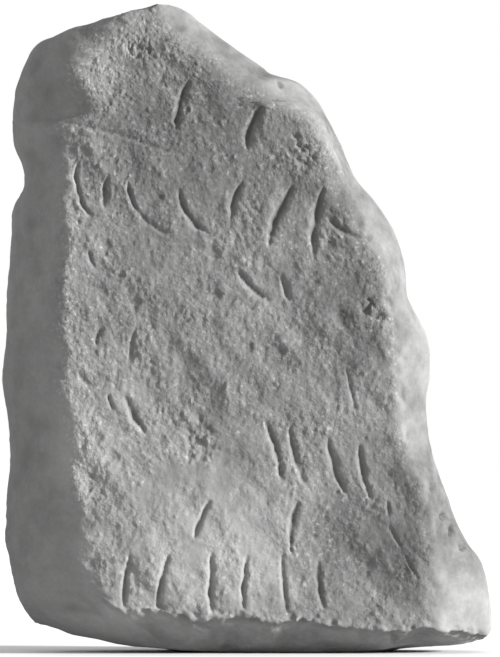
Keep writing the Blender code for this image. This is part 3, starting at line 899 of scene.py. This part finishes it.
def closed_mesh(name, grid, peak):
    """Make a closed mesh of a grid of rings, with a fan over the base and one to the peak.

    Each cell between two rings is split along the shorter of its diagonals, which is the one that runs
    along a cut or an arris and not across it.
    """
    rows, columns = grid.shape[:2]
    base = grid[0].mean(axis=0)
    points = np.vstack((grid.reshape(-1, 3), base, peak))
    number = np.arange(rows * columns).reshape(rows, columns)
    beside = np.roll(number, -1, axis=1)
    a, b, c, d = number[:-1].ravel(), beside[:-1].ravel(), beside[1:].ravel(), number[1:].ravel()
    rising = np.linalg.norm(points[a] - points[c], axis=1) < np.linalg.norm(points[b] - points[d], axis=1)
    under = np.stack((a, b, np.where(rising, c, d)), axis=-1)
    over = np.stack((np.where(rising, a, b), c, d), axis=-1)
    middle = np.full(columns, rows * columns)
    base_fan = np.stack((beside[0], number[0], middle), axis=-1)
    peak_fan = np.stack((number[-1], beside[-1], middle + 1), axis=-1)
    triangles = np.concatenate((under, over, base_fan, peak_fan))

    mesh = bpy.data.meshes.new(name)
    mesh.vertices.add(len(points))
    mesh.vertices.foreach_set("co", points.astype(np.float32).ravel())
    mesh.loops.add(triangles.size)
    mesh.loops.foreach_set("vertex_index", triangles.astype(np.int32).ravel())
    mesh.polygons.add(len(triangles))
    mesh.polygons.foreach_set("loop_start", np.arange(0, triangles.size, 3, dtype=np.int32))
    mesh.update(calc_edges=True)
    mesh.shade_smooth()
    return mesh


def paint(mesh, name, values):
    """Store a number for each ring point as an attribute, with nought at the base and the peak."""
    attribute = mesh.attributes.new(name=name, type="FLOAT", domain="POINT")
    attribute.data.foreach_set("value", np.append(values.ravel(), (0.0, 0.0)).astype(np.float32))


def add_node(tree, kind, result, inputs, **properties):
    """Add a node, give each of its inputs a value or a link, and give back one of its results."""
    node = tree.nodes.new(kind)
    for name, value in properties.items():
        setattr(node, name, value)
    for name, value in inputs.items():
        if isinstance(value, bpy.types.NodeSocket):
            tree.links.new(value, node.inputs[name])
        else:
            node.inputs[name].default_value = value
    return node.outputs[result]


def add_noise(tree, scale, detail, roughness):
    """Add noise that is fixed to the stone."""
    place = add_node(tree, "ShaderNodeTexCoord", "Object", {})
    inputs = {"Vector": place, "Scale": scale, "Detail": detail, "Roughness": roughness}
    return add_node(tree, "ShaderNodeTexNoise", "Fac", inputs)


def add_range(tree, value, low, high, out_low, out_high):
    """Add a node that turns the range from low to high into another range."""
    inputs = {"Value": value, "From Min": low, "From Max": high, "To Min": out_low, "To Max": out_high}
    return add_node(tree, "ShaderNodeMapRange", "Result", inputs)


def add_math(tree, operation, first, second):
    """Add a node that works out two values."""
    return add_node(tree, "ShaderNodeMath", "Value", {0: first, 1: second}, operation=operation)


def add_reader(tree, name):
    """Add a node that reads one of the slab's attributes."""
    return add_node(tree, "ShaderNodeAttribute", "Fac", {}, attribute_name=name)


def stone_shade(tree):
    """Factor on the stone's colour: speckle, clouds, tone with painted light and shade, and patches,
    times paler worn edges, painted shade in hollows and painted shade in the cuts.
    """
    plain = add_reader(tree, "plain")
    patches, mottle, sparkle, clouds = (add_range(tree, add_noise(tree, *noise), *shades)
                                        for noise, shades in (PATCHES, MOTTLE, SPARKLE, CLOUDS))
    # Paler worn edges and painted shade in hollows.
    worn_and_shaded = add_range(tree, add_reader(tree, "wear_and_hollow_shade"), *WEAR_AND_HOLLOW_SHADE)
    # Painted shade in the cuts.
    cut = add_range(tree, add_reader(tree, "carving"), *CUT_PAINTED_SHADE)

    sparkle = add_math(tree, "MULTIPLY", sparkle, add_math(tree, "SUBTRACT", 1.0, plain))
    speckle = add_math(tree, "ADD", mottle, sparkle)
    speckle = add_math(tree, "MULTIPLY", speckle, add_reader(tree, "grainy"))
    marks = add_math(tree, "ADD", speckle, add_math(tree, "MULTIPLY", clouds, plain))
    # The tone holds painted light and painted shade.
    shade = add_math(tree, "ADD", marks, add_math(tree, "ADD", add_reader(tree, "tone_with_painted_shading"), patches))
    return add_math(tree, "MULTIPLY", shade, add_math(tree, "MULTIPLY", worn_and_shaded, cut))


def stone_finish(settings):
    """Coarse grey stone: speckled and patchy, with painted light and shade in its tone, painted shade in
    its cuts and hollows, and paler on its worn edges.
    """
    material = bpy.data.materials.new("weathered_stone")
    material.use_nodes = True
    tree = material.node_tree
    surface = tree.nodes["Principled BSDF"]
    surface.inputs["Specular IOR Level"].default_value = STONE_SPECULAR

    tinting = {0: settings.stone_colour, "Scale": stone_shade(tree)}
    tint = add_node(tree, "ShaderNodeVectorMath", "Vector", tinting, operation="SCALE")
    gloss = add_range(tree, add_noise(tree, *GLOSS[0]), *GLOSS[1])
    height = add_noise(tree, *FINEST_GRAIN)
    bumps = {"Distance": settings.grain_bump, "Strength": add_reader(tree, "grainy"), "Height": height}
    bump = add_node(tree, "ShaderNodeBump", "Normal", bumps)
    tree.links.new(tint, surface.inputs["Base Color"])
    tree.links.new(gloss, surface.inputs["Roughness"])
    tree.links.new(bump, surface.inputs["Normal"])
    return material


class StoneSettings(bpy.types.PropertyGroup):
    """Sizes and colours of the stone."""

    stroke_width: FloatProperty(name="Stroke Width", description="Width of the cut strokes",
                                default=0.0128, min=0.002, max=0.03, unit="LENGTH")
    stroke_depth: FloatProperty(name="Stroke Depth", description="Depth of the cut strokes",
                                default=0.0036, min=0.0005, max=0.01, unit="LENGTH")
    pit_depth: FloatProperty(name="Pit Depth", description="Depth of the larger pits of the face",
                             default=0.0009, min=0.0, max=0.005, unit="LENGTH")
    nibble_depth: FloatProperty(name="Nibble Depth", description="Depth of the chips along the arrises",
                                default=0.0045, min=0.0, max=0.01, unit="LENGTH")
    grain_height: FloatProperty(name="Grain Height", description="Height of the grain of the face",
                                default=0.00045, min=0.0, max=0.002, unit="LENGTH")
    grain_bump: FloatProperty(name="Grain Bump", default=0.00115, min=0.0, max=0.005, unit="LENGTH",
                              description="Height of the finest grain, in the finish only")
    stone_colour: FloatVectorProperty(name="Stone Colour", description="Colour of the stone", size=3,
                                      default=STONE_GREY, min=0.0, max=1.0, subtype="COLOR")


class StudioSettings(bpy.types.PropertyGroup):
    """Light, floor and camera of the studio."""

    key_strength: FloatProperty(name="Key Light", description="Strength of the light from the right",
                                default=13.0, min=0.0, max=100.0)
    key_side: FloatProperty(name="Key Side", default=math.radians(73.0), subtype="ANGLE",
                            description="How far round to the right the key light stands")
    key_height: FloatProperty(name="Key Height", description="How high the key light stands",
                              default=math.radians(15.0), subtype="ANGLE")
    key_softness: FloatProperty(name="Key Softness", description="How broad the key light looks",
                                default=math.radians(8.0), subtype="ANGLE")
    fill_strength: FloatProperty(name="Fill Light", description="Strength of the even light all round",
                                 default=1.0, min=0.0, max=10.0)
    floor_colour: FloatVectorProperty(name="Floor Colour", description="Colour of the floor", size=3,
                                      default=(0.52, 0.52, 0.52), min=0.0, max=1.0, subtype="COLOR")
    camera_distance: FloatProperty(name="Camera Distance", description="Distance of the camera",
                                   default=10.0, min=1.0, max=30.0, unit="LENGTH")
    image_height: IntProperty(name="Image Height", description="Height of the picture in pixels",
                              default=657, min=1)


class STONE_OT_slab(bpy.types.Operator):
    """Build the weathered slab with its cut strokes and its finish"""

    bl_idname = "stone.slab"
    bl_label = "Weathered Slab"

    def execute(self, context):
        settings = context.scene.stone_settings
        grid, peak, shown = weathered_slab(settings)
        mesh = closed_mesh("weathered_slab", grid, peak)
        for name, values in shown.items():
            paint(mesh, name, values)
        slab = bpy.data.objects.new("weathered_slab", mesh)
        context.scene.collection.objects.link(slab)
        mesh.materials.append(stone_finish(settings))
        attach(slab, "root")
        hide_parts(NODE)
        return {"FINISHED"}


class STONE_OT_studio(bpy.types.Operator):
    """Set up the pale floor, the even surround, the key light and the camera"""

    bl_idname = "stone.studio"
    bl_label = "Studio"

    def execute(self, context):
        settings = context.scene.studio_settings
        context.scene.view_settings.view_transform = "Standard"
        make_floor(context.scene, settings)
        light_studio(context.scene, settings)
        place_camera(context.scene, settings)
        return {"FINISHED"}


class STONE_PT_panel(bpy.types.Panel):
    """Sidebar panel that lists the pieces and their settings"""

    bl_label = "Inscribed Stone"
    bl_idname = "STONE_PT_panel"
    bl_space_type = "VIEW_3D"
    bl_region_type = "UI"
    bl_category = "Stone"

    def draw(self, context):
        layout = self.layout
        for settings, operator in ((context.scene.stone_settings, STONE_OT_slab),
                                   (context.scene.studio_settings, STONE_OT_studio)):
            box = layout.box()
            for name in settings.bl_rna.properties.keys():
                if name not in ("rna_type", "name"):
                    box.prop(settings, name)
            box.operator(operator.bl_idname)


def floor_finish(settings):
    """Pale matt floor."""
    material = bpy.data.materials.new("pale_floor")
    material.use_nodes = True
    surface = material.node_tree.nodes["Principled BSDF"]
    surface.inputs["Base Color"].default_value = (*settings.floor_colour, 1.0)
    surface.inputs["Roughness"].default_value = FLOOR_ROUGHNESS
    return material


def make_floor(scene, settings):
    """Lay a wide pale floor under the stone: a disc that is flat at the height of the base."""
    angle = np.linspace(0.0, 2.0 * math.pi, FLOOR_SIDES, endpoint=False)
    level = np.full(FLOOR_SIDES, LOW[2])
    rim = np.stack((FLOOR_RADIUS * np.cos(angle), FLOOR_RADIUS * np.sin(angle), level), axis=-1)
    mesh = bpy.data.meshes.new("floor")
    mesh.from_pydata(rim.tolist(), [], [list(range(FLOOR_SIDES))])
    floor = bpy.data.objects.new("floor", mesh)
    scene.collection.objects.link(floor)
    mesh.materials.append(floor_finish(settings))


def light_studio(scene, settings):
    """Light the stone evenly from all round, with one broad key light low on the right."""
    world = bpy.data.worlds.new("studio")
    world.use_nodes = True
    background = world.node_tree.nodes["Background"]
    background.inputs["Color"].default_value = (1.0, 1.0, 1.0, 1.0)
    background.inputs["Strength"].default_value = settings.fill_strength
    scene.world = world
    lamp = bpy.data.lights.new("key_light", "SUN")
    lamp.energy = settings.key_strength
    lamp.angle = settings.key_softness
    key = bpy.data.objects.new("key_light", lamp)
    scene.collection.objects.link(key)
    level = math.cos(settings.key_height)
    towards = Vector((math.sin(settings.key_side) * level, -math.cos(settings.key_side) * level,
                      math.sin(settings.key_height)))
    key.location = towards * KEY_DISTANCE
    key.rotation_euler = towards.to_track_quat("Z", "Y").to_euler()


def place_camera(scene, settings):
    """Put the camera square in front of the stone, so that the stone nearly fills the picture."""
    pixel = HEIGHT / STONE_PIXELS
    outline_plane = LOW[1] + OUTLINE_SETBACK
    middle = Vector((MIDDLE_PIXEL[0] * pixel, outline_plane, LOW[2] + MIDDLE_PIXEL[1] * pixel))
    camera = bpy.data.objects.new("camera", bpy.data.cameras.new("camera"))
    scene.collection.objects.link(camera)
    camera.location = middle - Vector((0.0, settings.camera_distance, 0.0))
    camera.rotation_euler = (math.radians(90.0), 0.0, 0.0)
    field = settings.image_height * pixel
    camera.data.lens = camera.data.sensor_width * settings.camera_distance / field
    scene.camera = camera


CLASSES = (StoneSettings, StudioSettings, STONE_OT_slab, STONE_OT_studio, STONE_PT_panel)


def register():
    for one in CLASSES:
        bpy.utils.register_class(one)
    bpy.types.Scene.stone_settings = PointerProperty(type=StoneSettings)
    bpy.types.Scene.studio_settings = PointerProperty(type=StudioSettings)


def unregister():
    del bpy.types.Scene.studio_settings
    del bpy.types.Scene.stone_settings
    for one in reversed(CLASSES):
        bpy.utils.unregister_class(one)


def main():
    register()
    bpy.ops.stone.slab()
    bpy.ops.stone.studio()


if __name__ == "__main__":
    main()
